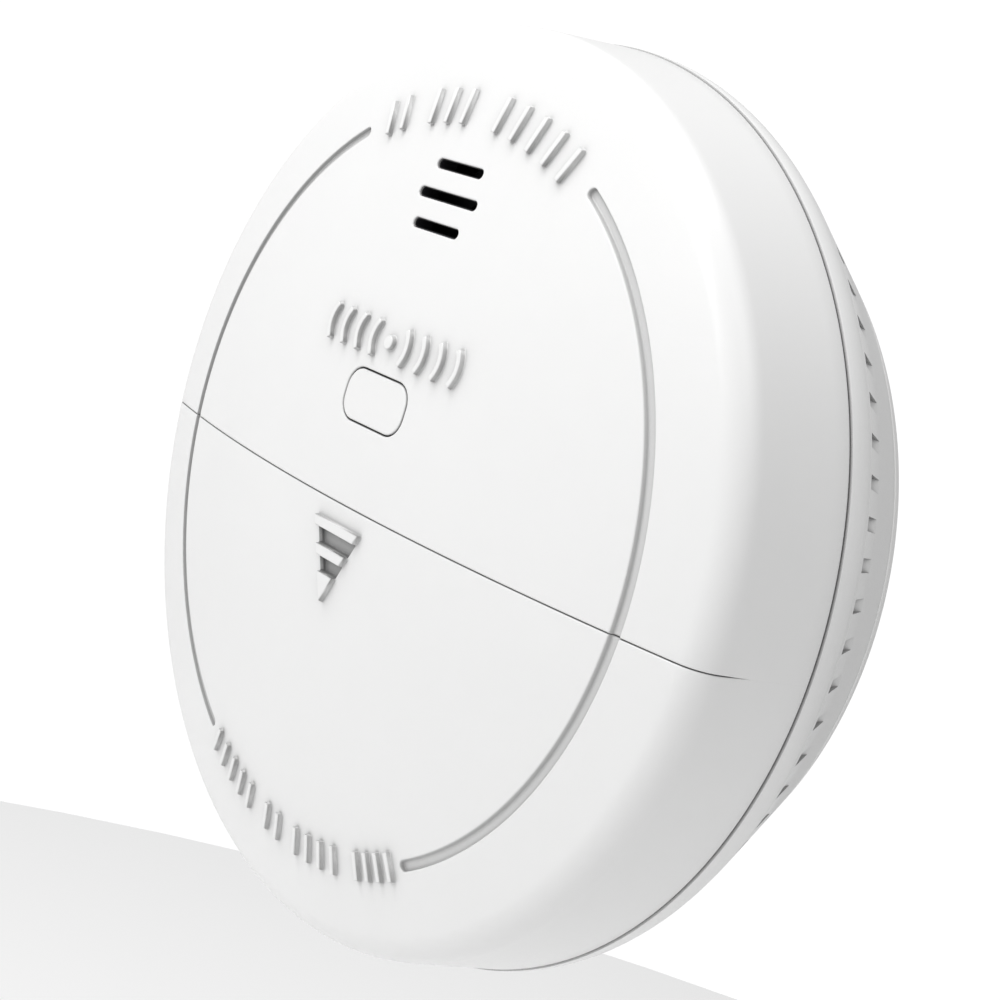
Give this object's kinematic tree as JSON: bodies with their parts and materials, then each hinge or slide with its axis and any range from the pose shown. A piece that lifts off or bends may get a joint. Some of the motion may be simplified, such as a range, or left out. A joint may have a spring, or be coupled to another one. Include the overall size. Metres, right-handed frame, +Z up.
{
  "type": "carbon monoxide detector",
  "caption": "Round domed wall alarm with a sliding half-face battery door, flush test button, sound slots, vent ring and a twist-off wall plate.",
  "frame": {"origin": "centre of the wall plate's rear face, midway between its two screw slots", "axes": "+Y into the wall, so the domed face looks towards -Y; +Z up the wall; +X to the right seen from the front"},
  "size_m": [0.1204, 0.0452, 0.1204],
  "materials": {
    "shell_white": "satin moulded white",
    "base_white": "matt moulded white",
    "button_white": "satin moulded white",
    "tray_white": "matt moulded white",
    "black_plastic": "matt black",
    "board_green": "solder mask",
    "tin": "tinned",
    "screw_steel": "zinc plated",
    "spring_steel": "nickel plated",
    "sensor_metal": "drawn can",
    "gold_pin": "gold flashed",
    "brass_disc": "rolled sheet",
    "ceramic_white": "silvered ceramic",
    "cell": "printed sleeve on a steel can",
    "lead_red": "insulated lead",
    "lead_black": "insulated lead",
    "plug_white": "moulded",
    "led_lens": "tinted clear",
    "capacitor_sleeve": "shrink sleeve",
    "ferrite": "sintered ferrite",
    "chip_ceramic": "sintered"
  },
  "bodies": {
    "base": {"mounting_base": "base_white"},
    "detector": {"back_housing": "shell_white", "front_cover": "shell_white", "switch_body": "black_plastic", "switch_legs": "tin", "circuit_board": "board_green", "pcb_screws": "screw_steel", "sensor_can": "sensor_metal", "sensor_cap": "black_plastic", "sensor_pins": "gold_pin", "horn_body": "black_plastic", "horn_lid": "black_plastic", "piezo_disc": "brass_disc", "piezo_ceramic": "ceramic_white", "horn_contacts": "tin", "battery_tray": "tray_white", "battery_upper": "cell", "battery_lower": "cell", "battery_springs": "spring_steel", "battery_plates": "spring_steel", "lead_red": "lead_red", "lead_black": "lead_black", "wire_plug": "plug_white", "status_leds": "led_lens", "led_leads": "tin", "mcu_body": "black_plastic", "mcu_leads": "tin", "electrolytic_caps": "capacitor_sleeve", "boost_coil": "ferrite", "chip_parts": "chip_ceramic", "housing_screws": "screw_steel"},
    "door": {"battery_door": "shell_white"},
    "button": {"test_button": "button_white"},
    "plunger": {"switch_plunger": "black_plastic"}
  },
  "joints": [
    {"name": "twist_off", "type": "hinge", "parent": "base", "child": "detector", "pos_m": [0, 0, 0], "axis": [0, -1, 0], "range_deg": [0, 15]},
    {"name": "door_slide", "type": "slide", "parent": "detector", "child": "door", "axis": [0, 0, -1], "range_m": [0, 0.06]},
    {"name": "button_press", "type": "slide", "parent": "detector", "child": "button", "axis": [0, 1, 0], "range_m": [0, 0.0005], "stiffness_N_per_m": 400, "springref_m": -0.0004},
    {"name": "plunger_press", "type": "slide", "parent": "detector", "child": "plunger", "axis": [0, 1, 0], "range_m": [0, 0.0005], "stiffness_N_per_m": 400, "springref_m": -0.0004}
  ],
  "couplings": [
    {"joint": "plunger_press", "follows": "button_press", "ratio": 1}
  ]
}
